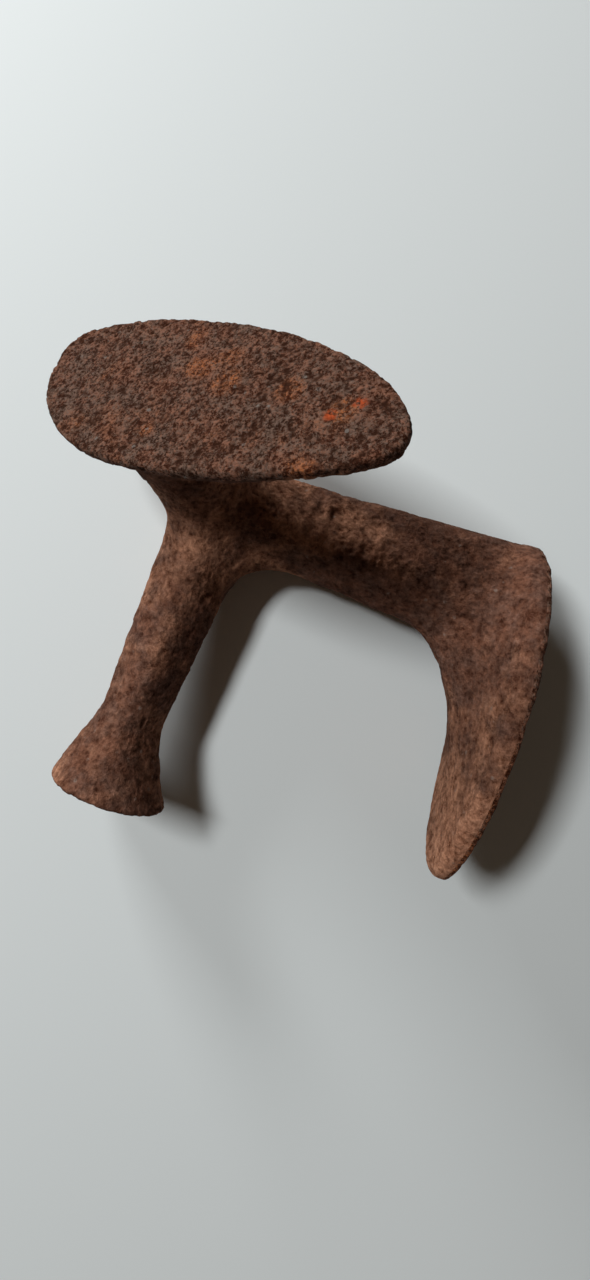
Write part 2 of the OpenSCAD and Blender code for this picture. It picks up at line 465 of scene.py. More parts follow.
# Sizes of the rust's forms. A crater's radius is a share of its cell
WAVE_SIZES = (27 * MM, 13 * MM)
LUMP_SIZES = (6.5 * MM, 3.6 * MM)
PIT_SIZES = np.array([2.6 * MM, 1.5 * MM])
CRATER_SIZE = 5.2 * MM
CRATER_RADIUS = 0.62
WARP_SIZE = 4 * MM
WARP_REACH = 1.6 * MM
GRAIN_SIZE = 1.5 * MM
ROUGH_PATCH_SIZE = 19 * MM

# Noise values between which a pit deepens and a cell gets a crater, and the power of a crater's bowl
PIT_SPAN = (0.1, 0.9)
CRATER_SPAN = (0.45, 0.95)
BOWL_POWER = 1.2

# The relief's mean strength, and how much it changes from patch to patch
PATCH_MEAN = 0.75
PATCH_SWING = 0.35

# How high level skin stands, and the share of the lumps that counts
LEVEL_STAND = 0.72
LUMP_STAND = 0.3


def rust_relief(points, rust, rough, fine=1.0):
    """Height of the rusted skin over the plain one, and how high each point stands among its neighbours,
    from 0 in a pit to 1 on a grain. Broad waves and lumps carry ragged pits, bowls and grains, more where
    rough."""
    wave = layered(points, WAVE_SIZES, 0.5, 1)
    lump = layered(points, LUMP_SIZES, 0.5, 3)
    pit = smooth_step(-layered(points, PIT_SIZES * fine, 0.6, 5), *PIT_SPAN)
    warp = np.stack([soft_noise(points, WARP_SIZE, seed) for seed in (7, 8, 9)], -1)
    near, value = cell_noise(points + WARP_REACH * warp, CRATER_SIZE, 11)
    crater = np.clip(1 - near / CRATER_RADIUS, 0, 1) ** BOWL_POWER * smooth_step(value, *CRATER_SPAN)
    grain = soft_noise(points, GRAIN_SIZE, 17)
    patch = rough * (PATCH_MEAN + PATCH_SWING * soft_noise(points, ROUGH_PATCH_SIZE, 19))
    small = -rust.pit * pit - rust.crater * crater + rust.grain * grain
    height = rust.wave * wave + patch * (rust.lump * lump + small)
    raised = patch * (small + LUMP_STAND * rust.lump * lump) / (rust.pit + rust.crater)
    return height, np.clip(LEVEL_STAND + raised, 0, 1)


# Meshes

# A point's values, as the shaders read them
COATS = ("stand", "warm", "fresh")

# How wide a seam face's rim is, and how far a sole's seam face is sunk
SEAM_STEP = 1.5 * MM
SEAM_SINK = 2 * MM
NO_TRIANGLES = np.zeros((0, 3), int)


def strip(ring, other):
    """Quads between two closed rings of equally many points."""
    return np.stack([ring, np.roll(ring, -1), np.roll(other, -1), other], -1)


def fan(ring, middle):
    """Triangles from a ring of points to one in its middle."""
    return np.stack([ring, np.roll(ring, -1), np.full_like(ring, middle)], -1)


class Skin:
    """Points and faces of one piece, gathered grid by grid. Each point has a coat of three values: how high
    it stands among its neighbours, how warm its colour is, and how fresh its rust is."""

    def __init__(self):
        self.points, self.coats, self.quads, self.fans, self.caps, self.beyond = [], [], [], [], [], []
        self.count = 0

    def add_points(self, points, coats=(1, 0, 0)):
        """Adds points with their coats, and gives their numbers."""
        points = np.asarray(points)
        numbers = self.count + np.arange(points[..., 0].size).reshape(points.shape[:-1])
        self.count += points[..., 0].size
        self.points.append(points.reshape(-1, 3))
        self.coats.append(np.broadcast_to(coats, points.shape).reshape(-1, 3))
        return numbers

    def add_rings(self, rings, coats):
        """Adds a closed grid of rings, and gives their points' numbers."""
        numbers = self.add_points(rings, coats)
        self.quads.extend(strip(ring, after) for ring, after in zip(numbers[:-1], numbers[1:]))
        return numbers

    def fold(self, ring, points, coats):
        """Closes a ring on a line of points: opposite points of the ring, mirrored end to end, share one."""
        line = self.add_points(points, coats)
        column = np.arange(len(ring))
        self.quads.append(strip(ring, line[np.minimum(column, len(ring) - column)]))

    def close(self, ring, middle, coat):
        """Closes a ring smoothly on one point."""
        self.fans.append(fan(ring, self.add_points(middle[None], coat)[0]))

    def seam(self, ring, beyond, sink=(0, 0, 0)):
        """Closes a ring with a seam face, which may be sunk just inside the ring. The next piece's first
        ring beyond it only shapes the normals."""
        self.beyond.append((ring, beyond))
        rim = np.concatenate(self.points)[ring]
        middle = rim.mean(0)
        inner = self.add_points(rim + unit(middle - rim) * SEAM_STEP + sink)
        step = strip(ring, inner)
        self.caps += [step[:, :3], step[:, [0, 2, 3]], fan(inner, self.add_points(middle[None] + sink)[0])]


def signed_volume(points, triangles):
    """Volume inside closed faces: positive where they point outwards."""
    a, b, c = (points[triangles[:, i]] for i in range(3))
    return (np.cross(a, b) * c).sum() / 6


def face_normals(points, triangles):
    """Normals of triangles, as long as twice their area."""
    a, b, c = (points[triangles[:, i]] for i in range(3))
    return np.cross(b - a, c - a)


def smooth_normals(skin, points, triangles):
    """Normals at the points: sums of the faces' normals round each one, past the seams too."""
    quads, count = list(skin.quads), len(points)
    for ring, beyond in skin.beyond:
        quads.append(strip(ring, len(points) + np.arange(len(ring))))
        points = np.concatenate([points, beyond])
    quads = np.concatenate(quads)
    a, b, c, d = (points[quads[:, i]] for i in range(4))
    faces = [(quads, np.cross(c - a, d - b)), (triangles, face_normals(points, triangles))]
    total = np.zeros_like(points)
    for corners, normals in faces:
        for i in range(corners.shape[1]):
            np.add.at(total, corners[:, i], normals)
    return unit(total[:count])


def make_piece(node, slot, skin):
    """Turns a skin into a mesh that stands for a solid's node: smooth all over, apart from its seam faces,
    with faces that point outwards and nothing under the floor."""
    points, quads = np.concatenate(skin.points), np.concatenate(skin.quads)
    fans = np.concatenate(skin.fans + [NO_TRIANGLES])
    caps = np.concatenate(skin.caps + [NO_TRIANGLES])
    normals = smooth_normals(skin, points, fans)
    halves = np.concatenate([quads[:, :3], quads[:, [0, 2, 3]], fans, caps])
    if signed_volume(points, halves) < 0:
        quads, fans, caps, normals = quads[:, ::-1], fans[:, ::-1], caps[:, ::-1], -normals
    points[:, 2] = np.maximum(points[:, 2], 0)
    flat = unit(face_normals(points, caps))
    mesh = bpy.data.meshes.new(f"rusted_{node}")
    mesh.vertices.add(len(points))
    mesh.vertices.foreach_set("co", points.ravel())
    corners = np.concatenate([quads.ravel(), fans.ravel(), caps.ravel()]).astype(np.int32)
    sizes = np.concatenate([np.full(len(quads), 4), np.full(len(fans) + len(caps), 3)])
    mesh.loops.add(len(corners))
    mesh.loops.foreach_set("vertex_index", corners)
    mesh.polygons.add(len(sizes))
    mesh.polygons.foreach_set("loop_start", (np.cumsum(sizes) - sizes).astype(np.int32))
    coats = np.concatenate(skin.coats).astype(np.float32)
    for i, label in enumerate(COATS):
        layer = mesh.attributes.new(label, "FLOAT", "POINT")
        layer.data.foreach_set("value", np.ascontiguousarray(coats[:, i]))
    mesh.update(calc_edges=True)
    mesh.polygons.foreach_set("use_smooth", np.ones(len(sizes), bool))
    turned_out = np.concatenate([normals[quads.ravel()], normals[fans.ravel()], np.repeat(flat, 3, axis=0)])
    mesh.normals_split_custom_set(turned_out.astype(np.float32))
    mesh.materials.append(rust_material(slot))
    piece = bpy.data.objects.new(mesh.name, mesh)
    bpy.context.scene.collection.objects.link(piece)
    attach(piece, "root")
    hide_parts(node)


def grid_normals(grid, centre):
    """Unit normals of a grid that is closed along its columns, from the cross product of its differences,
    turned so that most of them point away from a centre."""
    along = np.gradient(grid, axis=0)
    around = np.roll(grid, -1, axis=1) - np.roll(grid, 1, axis=1)
    normals = unit(np.cross(around, along))
    return normals * np.sign(((grid - centre) * normals).sum())


# Feet and legs

# Turns of the rings round a rounded edge
EDGE_BEND = np.linspace(0, np.pi / 2, 5)[1:]

# Spacing of the rings along a bar and across a face, in grid steps, the share of a flare's width and depth
# that its curve takes, and how much its rings crowd at the edge
BAR_SPACING = 1.8
FACE_SPACING = 1.1
FLARE_SHARE = 0.6
FLARE_CROWDING = 1.4

# Share of a sole's width by which its spine is shorter at each end
SPINE_SHORTER = 0.4


def sole_outline(foot, end_power, turn):
    """A sole's outline: half its length times the cosine of the turn ahead, and on each side a half width
    times the sine to a power, which the taper narrows or widens towards the toe."""
    cos, sin = np.cos(turn), np.sin(turn)
    outer = foot.outer_width * (1 - foot.outer_taper * cos)
    inner = foot.inner_width * (1 - foot.inner_taper * cos)
    bulge = np.sign(sin) * np.where(sin > 0, outer, inner) * np.abs(sin) ** end_power
    return np.stack([foot.ahead + foot.length / 2 * cos, foot.aside + bulge], -1)


def leg_oval(outline, half, leg):
    """The leg's ridged oval in the direction of each outline point. A leg or a foot gives its squareness."""
    way = unit(outline)
    radius = half.prod() / np.hypot(half[1] * way[:, 0], half[0] * way[:, 1])
    radius = radius * ridged(np.arctan2(way[:, 1], way[:, 0]), leg.square, leg.ridge)
    return way * radius[:, None]


def stacked(flat, out):
    """Points in a leg's frame from flat pairs and their distance along the axis."""
    return np.concatenate([flat, np.broadcast_to(out[..., None], flat.shape[:-1] + (1,))], -1)


def leg_rings(foot, casting, hub_reach, outline):
    """Rings of a leg from just inside its seam to the back of its sole. The bar runs straight from its root
    oval to its flare oval. The flare's two shares, out to the edge and down to the leg, are a ring's share
    and the rest of it, each to one over the flare's power, so that it leaves the leg and meets the sole
    along both. Near the edge it rolls over by a quarter circle."""
    root, oval = (leg_oval(outline, half, foot) for half in leg_halves(foot))
    stand = np.maximum(np.linalg.norm(outline, axis=1) - np.linalg.norm(oval, axis=1), 0)
    depth = foot.flare * stand / (stand + casting.flare_ease)
    back = foot.reach - foot.edge

    def rolled(inward):
        """How far the quarter circle has risen at a distance in from the edge."""
        past = 1 - np.clip(inward / foot.back_round, 0, 1)
        return foot.back_round * (1 - np.sqrt(1 - past ** 2))
    flare_from = back - depth - casting.crown + rolled(stand)
    bar_rows = 2 + int((flare_from.max() - hub_reach) / casting.grid_step / BAR_SPACING)
    up_bar = np.linspace(0, 1, bar_rows)[:, None]
    up_bar = np.concatenate([[-up_bar[1]], up_bar])
    bar = stacked(root * (1 - up_bar[..., None]) + oval * up_bar[..., None],
                  hub_reach * (1 - up_bar) + flare_from * up_bar)
    flare_rows = int((stand.max() + depth.max()) * FLARE_SHARE / casting.grid_step)
    ring = 1 - (1 - np.linspace(0, 1, flare_rows)[1:, None]) ** FLARE_CROWDING
    wide, low = ring ** (1 / casting.flare_power), (1 - ring) ** (1 / casting.flare_power)
    flare = stacked(oval * (1 - wide[..., None]) + outline * wide[..., None],
                    back - depth * low - casting.crown * (1 - wide) + rolled(stand * (1 - wide)))
    return np.concatenate([bar, flare])


def sole_rings(foot, casting, outline, spine):
    """Rings of a sole from the back of its edge over a rounded corner and in to the face's spine."""
    thick = foot.edge - foot.back_round
    edge_rows = 2 + int((thick - casting.edge_round) / casting.grid_step)
    up_edge = np.linspace(foot.reach - thick, foot.reach - casting.edge_round, edge_rows)[1:]
    inward = spine - outline
    width = np.linalg.norm(inward, axis=1)
    inset = np.concatenate([np.zeros(len(up_edge)), casting.edge_round * (1 - np.cos(EDGE_BEND))])
    out = np.concatenate([up_edge, foot.reach - casting.edge_round * (1 - np.sin(EDGE_BEND))])
    face_rows = int(width.max() / casting.grid_step / FACE_SPACING)
    face = np.linspace(0, 1, face_rows)[1:, None]
    shares = np.concatenate([inset[:, None] / width, casting.edge_round / width * (1 - face) + face])
    out = np.concatenate([out, np.full(len(face), foot.reach)])
    rim_rows = len(up_edge) + len(EDGE_BEND)
    return stacked(outline + inward * shares[..., None], out[:, None] + 0 * shares), rim_rows


def foot_spine(foot, casting, turn):
    """The line in a sole's face that its rings close on: midway between the sides, and shorter than the
    sole by a share of its width at each end."""
    outline, mirrored = (sole_outline(foot, casting.end_power, t) for t in (turn, -turn))
    mid = (outline + mirrored) / 2
    reach = 1 - 2 * SPINE_SHORTER * (foot.outer_width + foot.inner_width) / foot.length
    mid[:, 0] = foot.ahead + (mid[:, 0] - foot.ahead) * reach
    return mid


def toe_bent(local, foot):
    """A foot whose toe bends back to the hub, by the square of how far it lies past the sole's middle."""
    past = np.clip((local[..., 0] - foot.ahead) / (foot.length / 2), 0, None)
    bent = local.copy()
    bent[..., 2] -= foot.toe_bend * past ** 2
    return bent


def warmth_near_hub(hub, out, own):
    """A leg's own warmth, which runs into the hub's towards the hub."""
    return hub.warmth + (own - hub.warmth) * smooth_step(out, hub.reach, hub.reach + hub.fade)


def make_leg(name, rusted, coats, seam, sink=(0, 0, 0)):
    """Makes a leg's piece of the rings from the hub's seam to the foot's."""
    skin = Skin()
    rings = skin.add_rings(rusted[1:seam], coats[1:seam])
    skin.seam(rings[0][::-1], rusted[0, ::-1])
    skin.seam(rings[-1], rusted[seam], sink)
    make_piece(f"{name}_leg", "rusted_iron", skin)


def build_foot(anvil, name, roughness, warmth, spots=(), scores=None):
    """Builds a sole and its leg as one rusted surface, and parts it at the back of the sole's edge. Its
    roughness, its warmth and the height of its scores are functions of the place in the leg's frame."""
    foot, casting = getattr(anvil, name), anvil.casting
    legs, hub = anvil_legs(anvil), hub_centre(anvil)
    leg = legs[name]
    turn = np.arange(foot.columns) * 2 * np.pi / foot.columns
    outline = sole_outline(foot, casting.end_power, turn)
    stem = toe_bent(leg_rings(foot, casting, anvil.hub.reach, outline), foot)
    sole, rim_rows = sole_rings(foot, casting, outline, foot_spine(foot, casting, turn))
    local = np.concatenate([stem, toe_bent(sole, foot)])
    rows = len(stem)
    plain = from_leg(leg, hub, local)
    plain[:rows] = filleted(plain[:rows], leg, list(legs.values()), hub, anvil.hub)
    normals = grid_normals(plain, from_leg(leg, hub, np.array([0, 0, foot.reach / 2])))
    normals[rows + rim_rows:] = leg.axis
    height, stand = rust_relief(plain, anvil.rust, roughness(local), foot.fine)
    if scores:
        height = height + scores(local)
    rusted = plain + normals * height[..., None]
    fresh = spotted(local, spots) * (local[..., 2] > foot.reach - casting.edge_round)
    coats = np.stack([stand, warmth_near_hub(anvil.hub, local[..., 2], warmth(local)), fresh], -1)
    sink = leg.axis * SEAM_SINK
    make_leg(name, rusted, coats, rows, sink)
    skin = Skin()
    rings = skin.add_rings(rusted[rows - 1:-1], coats[rows - 1:-1])
    half = foot.columns // 2 + 1
    skin.fold(rings[-1], rusted[-1, :half], coats[-1, :half])
    skin.seam(rings[0][::-1], rusted[rows - 2, ::-1], sink)
    make_piece(f"{name}_sole", "rusted_sole", skin)


# Spots on the large sole: ahead of its leg, beside it, and radius, in millimetres
FRESH_SPOTS = ((85, 22.5, 3.4), (78, 15.5, 3.2))
ORANGE_PATCHES = ((3, 31, 9), (15, 19, 9), (24, 27, 8), (31, 17, 10), (58, 21, 9), (14, -12, 5),
                  (80, -6, 8), (81, 19, 8))
PATCH_WARMTH = 0.8

# Share of its radius up to which a spot is full
SPOT_CORE = 0.3


def spotted(local, spots):
    """Sum of spots on a sole: each is 1 round its middle and fades to 0 at its radius."""
    total = np.zeros(local.shape[:-1])
    for ahead, aside, radius in np.array(spots) * MM:
        apart = np.hypot(local[..., 0] - ahead, local[..., 1] - aside)
        total = total + 1 - smooth_step(apart, SPOT_CORE * radius, radius)
    return total


def build_large_foot(anvil):
    """Builds the large foot: coarse all over, with orange patches and two fresh spots."""
    def warmth(local):
        """Only in the patches."""
        return PATCH_WARMTH * spotted(local, ORANGE_PATCHES)
    build_foot(anvil, "large", lambda local: anvil.large.rough, warmth, FRESH_SPOTS)


# The small toe's lighter end: where it starts and is full, in soles' lengths, and what it changes
TOE_START, TOE_FULL = 0.2, 0.75
TOE_SMOOTH = 0.25
STREAK_SHARE = 0.25
STREAK_SIZE = 2.2 * MM
STREAK_STRETCH = (6, 1, 1)
RIDGE_SIZES = (3.4 * MM, 1.9 * MM)
RIDGE_STRETCHES = ((5, 5, 1), (3, 3, 1))


def build_small_foot(anvil):
    """Builds the small foot: smoother and lighter towards the toe, with a rough scab along its leg."""
    foot, scab = anvil.small, anvil.scab

    def towards_toe(local):
        """Eased from 0 on the leg's side of the sole to 1 at the toe."""
        return smooth_step(local[..., 0], TOE_START * foot.length, TOE_FULL * foot.length)

    def scabbed(local):
        """1 in the middle of the scab, and eased to 0 along, across and down the leg's side."""
        along = 1 - smooth_step(np.abs(local[..., 2] - scab.out), scab.full_length, scab.length)
        across = 1 - smooth_step(np.abs(local[..., 0]), scab.full_width, scab.width)
        return smooth_step(-local[..., 1], scab.start, scab.full_start) * along * across

    def roughness(local):
        """More on the scab, and less towards the toe."""
        return foot.rough + scab.rough * scabbed(local) - TOE_SMOOTH * towards_toe(local)

    def warmth(local):
        """Streaks along the toe, and the scab."""
        streaks = soft_noise(local / STREAK_STRETCH, STREAK_SIZE, 31)
        return towards_toe(local) * (1 + STREAK_SHARE * streaks) + scab.warmth * scabbed(local)

    def scores(local):
        """Ridges of two sizes, stretched across the leg."""
        large, small = (soft_noise(local / stretch, size, seed)
                        for stretch, size, seed in zip(RIDGE_STRETCHES, RIDGE_SIZES, (33, 35)))
        return scab.score * scabbed(local) * (large + 0.5 * small)
    build_foot(anvil, "small", roughness, warmth, scores=scores)


def build_heel(anvil):
    """Builds the heel leg and its bell as one rusted surface of rings round the axis, parted at the waist.
    The leg's radius runs straight to the waist. The bell's grows by a power of the way to the face, and the
    bell drifts aside by another power of it."""
    heel, casting, reach = anvil.heel, anvil.casting, anvil.hub.reach
    legs, hub = anvil_legs(anvil), hub_centre(anvil)
    leg = legs["heel"]
    waist_at = heel.reach - heel.flare
    step = casting.grid_step
    leg_out = np.linspace(reach, waist_at, int((waist_at - reach) / step))
    leg_out = np.concatenate([[2 * leg_out[0] - leg_out[1]], leg_out])
    leg_radius = (heel.root + (heel.waist - heel.root) * leg_out / waist_at) / 2
    bell = np.linspace(0, 1, int(heel.flare / step))[1:]
    bell_out = waist_at + (heel.flare - casting.edge_round) * bell
    bell_radius = (heel.waist + (heel.face - heel.waist) * bell ** heel.bell_power) / 2
    rim_out = heel.reach - casting.edge_round * (1 - np.sin(EDGE_BEND))
    rim_radius = heel.face / 2 - casting.edge_round * (1 - np.cos(EDGE_BEND))
    face_radius = np.linspace(rim_radius[-1], 0, int(rim_radius[-1] / step))[1:-1]
    out = np.concatenate([leg_out, bell_out, rim_out, np.full(len(face_radius), heel.reach)])
    radius = np.concatenate([leg_radius, bell_radius, rim_radius, face_radius])
    columns = int(np.pi * heel.face / step)
    turn = np.arange(columns) * 2 * np.pi / columns
    past = np.clip((out - waist_at) / heel.flare, 0, 1)[:, None, None]
    section = 1 + (ridged(turn, heel.square, heel.ridge)[:, None] - 1) * (1 - past)
    flat = radius[:, None, None] * section * np.stack([np.cos(turn), np.sin(turn)], -1)
    level = unit(np.cross((0, 0, 1), leg.axis))
    plain = from_leg(leg, hub, stacked(flat, out[:, None] + 0 * turn))
    plain = plain + level * heel.drift * past ** heel.drift_power
    waist = len(leg_out)
    plain[:waist] = filleted(plain[:waist], leg, list(legs.values()), hub, anvil.hub)
    normals = grid_normals(plain, from_leg(leg, hub, np.array([0, 0, heel.reach / 2])))
    normals[len(out) - len(face_radius):] = leg.axis
    height, stand = rust_relief(plain, anvil.rust, anvil.rust.rough)
    rusted = plain + normals * height[..., None]
    own = heel.warmth + heel.bell_warmth * past[..., 0]
    warm = warmth_near_hub(anvil.hub, out[:, None], own) + 0 * turn
    coats = np.stack([stand, warm, 0 * warm], -1)
    make_leg("heel", rusted, coats, waist)
    skin = Skin()
    rings = skin.add_rings(rusted[waist - 1:], coats[waist - 1:])
    skin.close(rings[-1], rusted[-1].mean(0), coats[-1].mean(0))
    skin.seam(rings[0][::-1], rusted[waist - 2, ::-1])
    make_piece("heel_foot", "rusted_iron", skin)


def mitre_arcs(axes, count):
    """Directions along the three half circles where the regions of two legs meet on the hub. Each runs from
    the corner that lies at one angle from all three axes to the opposite corner."""
    corner = unit(np.cross(axes[0] - axes[1], axes[1] - axes[2]))
    corner = corner * np.sign(corner @ axes[0])
    turn = np.linspace(0, np.pi, count + 1)[:, None]
    arcs = []
    for i in range(3):
        middle = axes[i] + axes[(i + 1) % 3]
        outward = unit(middle - corner * (middle @ corner))
        arcs.append(np.cos(turn) * corner + np.sin(turn) * outward)
    return np.array(arcs)


def round_region(arcs, i):
    """A leg's region of the hub has two arcs as its border: out along one, and back along the other."""
    return np.concatenate([arcs[i], arcs[i - 1][-2:0:-1]])


# How far apart the field is compared for its slope, the shares of the ball's radius between which the
# union's skin lies, and the share that a region's rows run over
SLOPE_STEP = 0.4 * MM
UNION_SPAN = (0.3, 3)
REGION_RUN = 2.2


def build_hub(anvil):
    """Builds the hub: from each leg's seam ring, rows of rays swing to the arcs where the legs' regions
    meet, and end on the smooth union of the ball and the bars."""
    hub, sizes, step = hub_centre(anvil), anvil.hub, anvil.casting.grid_step
    legs = list(anvil_legs(anvil).values())
    skin = Skin()

    def field(points):
        """How far points lie outside the smooth union."""
        return casting_field(points, legs, hub, sizes)

    def on_union(rays):
        """Where rays from the hub's centre leave the union."""
        low, high = (np.full(rays.shape[:-1], part * sizes.ball) for part in UNION_SPAN)
        out = bisected(lambda reach: field(hub + rays * reach[..., None]) < 0, low, high)
        return hub + rays * out[..., None]

    def rusted(plain):
        """Points raised by the rust along the field's slope, and their coats."""
        slope = [field(plain + shift) - field(plain - shift) for shift in np.eye(3) * SLOPE_STEP]
        height, stand = rust_relief(plain, anvil.rust, anvil.rust.rough)
        coats = np.stack([stand, np.full_like(stand, sizes.warmth), 0 * stand], -1)
        return plain + unit(np.stack(slope, -1)) * height[..., None], coats

    arcs = mitre_arcs([leg.axis for leg in legs], int(np.pi * sizes.ball / step))
    numbers = np.zeros(arcs.shape[:2], int)
    numbers[:, 1:-1] = skin.add_points(*rusted(on_union(arcs[:, 1:-1])))
    numbers[:, [0, -1]] = skin.add_points(*rusted(on_union(arcs[0, [0, -1]])))
    for i, leg in enumerate(legs):
        ways = round_region(arcs, i)
        across = np.stack([ways @ leg.toe, ways @ leg.side], -1)

        def seam_ring(out):
            """The leg's rounded ring at a distance along its axis."""
            oval = leg_oval(across, np.array(bar_halves(leg, out)), leg)
            ring = from_leg(leg, hub, stacked(oval, np.full(len(ways), out)))
            return filleted(ring, leg, legs, hub, sizes)
        seam = seam_ring(sizes.reach)
        swing = np.linspace(0, 1, int(REGION_RUN * sizes.ball / step))[1:-1, None, None]
        plain = on_union(unit(unit(seam - hub) * (1 - swing) + ways * swing))
        rings = skin.add_rings(*rusted(np.concatenate([seam[None], plain])))
        skin.quads.append(strip(rings[-1], round_region(numbers, i)))
        skin.seam(rings[0][::-1], rusted(seam_ring(sizes.reach + step))[0][::-1])
    make_piece("hub", "rusted_iron", skin)


# Rust

def set_inputs(tree, node, inputs):
    """Sets or links a node's inputs by name or number."""
    for key, value in inputs.items():
        if isinstance(value, bpy.types.NodeSocket):
            tree.links.new(value, node.inputs[key])
        else:
            node.inputs[key].default_value = value


def add_node(tree, kind, inputs=None, **settings):
    """Adds a node, sets its options, and sets or links its inputs."""
    node = tree.nodes.new(kind)
    for key, value in settings.items():
        setattr(node, key, value)
    set_inputs(tree, node, inputs or {})
    return node


def noise(tree, where, size, detail=3.0, roughness=0.55, seed=0.0):
    """Noise whose features have about the given size. Each seed gives another pattern."""
    scale = maths(tree, "DIVIDE", 1.0, size)
    inputs = {"Vector": where, "W": seed, "Scale": scale, "Detail": detail, "Roughness": roughness}
    return add_node(tree, "ShaderNodeTexNoise", inputs, noise_dimensions="4D").outputs["Fac"]


def cells(tree, where, size):
    """Cells of about the given size: the distance to each one's middle, and its random colour."""
    node = add_node(tree, "ShaderNodeTexVoronoi", {"Vector": where, "Scale": 1 / size})
    return node.outputs["Distance"], node.outputs["Color"]


def ramp(tree, value, low, high, to_low=0.0, to_high=1.0):
    """A value brought smoothly from one range to another, and held at its ends."""
    inputs = {"Value": value, "From Min": low, "From Max": high, "To Min": to_low, "To Max": to_high}
    node = add_node(tree, "ShaderNodeMapRange", inputs, interpolation_type="SMOOTHSTEP")
    return node.outputs["Result"]


def maths(tree, operation, a, b):
    """Two values combined."""
    return add_node(tree, "ShaderNodeMath", {0: a, 1: b}, operation=operation).outputs[0]


def mixed(tree, factor, a, b, blend="MIX"):
    """Two colours mixed by a factor."""
    node = add_node(tree, "ShaderNodeMix", {0: factor, 6: a, 7: b}, data_type="RGBA", blend_type=blend)
    return node.outputs[2]


def new_group(name, inputs, outputs):
    """An empty shader node group with named sockets, with its input and output nodes."""
    group = bpy.data.node_groups.new(name, "ShaderNodeTree")
    for label, kind in inputs:
        group.interface.new_socket(label, in_out="INPUT", socket_type=f"NodeSocket{kind}")
    for label, kind in outputs:
        group.interface.new_socket(label, in_out="OUTPUT", socket_type=f"NodeSocket{kind}")
    return group, group.nodes.new("NodeGroupInput").outputs, group.nodes.new("NodeGroupOutput").inputs


# Size of the fine lumps, in grains, and the grains' share in the mask of the tops
LUMP_GRAINS = 2.4
TOP_GRAINS = 0.65


def relief_group():
    """Fine relief of rust: broken grains over soft lumps, as a height and as a mask of the grain tops."""
    if "rust_relief" in bpy.data.node_groups:
        return bpy.data.node_groups["rust_relief"]
    group, given, put = new_group("rust_relief", [("Vector", "Vector"), ("Grain size", "Float")],
                                  [("Height", "Float"), ("Grain", "Float")])
    grain = noise(group, given["Vector"], given["Grain size"], 4.0, 0.76, 1.0)
    lump_size = maths(group, "MULTIPLY", given["Grain size"], LUMP_GRAINS)
    lumps = noise(group, given["Vector"], lump_size, 3.0, 0.5, 2.0)
    group.links.new(maths(group, "ADD", grain, lumps), put["Height"])
    grain_part = maths(group, "MULTIPLY", grain, TOP_GRAINS)
    lump_part = maths(group, "MULTIPLY", lumps, 1 - TOP_GRAINS)
    group.links.new(maths(group, "ADD", grain_part, lump_part), put["Grain"])
    return group


# What the lowest and the highest grains multiply a colour by: partly the rust's own darker and lighter
# grains, partly painted shade in the low hollows and painted light on the high tops
LOW_GRAIN_TONE_AND_SHADE = (0.3, 0.2, 0.15, 1)
HIGH_GRAIN_TONE_AND_LIGHT = (1.7, 1.84, 1.98, 1)

# Sizes of the deeper and the warm areas, of the grains of fresh rust and of the cells that hold flecks
SHADE_SIZE = 9 * MM
WARM_SIZE = 18 * MM
FRESH_SIZE = 1.8 * MM
FLECK_SIZE = 4 * MM
FLECK_COLOUR = (0.25, 0.21, 0.18, 1)

# How much warmth widens the warm areas, how well dust with its painted highlight covers the grain tops,
# and how much contrast darkens the pits with the rust's dark colour and painted shade
WARM_REACH = 0.3
DUST_AND_HIGHLIGHT_COVER = 0.75
PIT_DARKNESS = 0.12


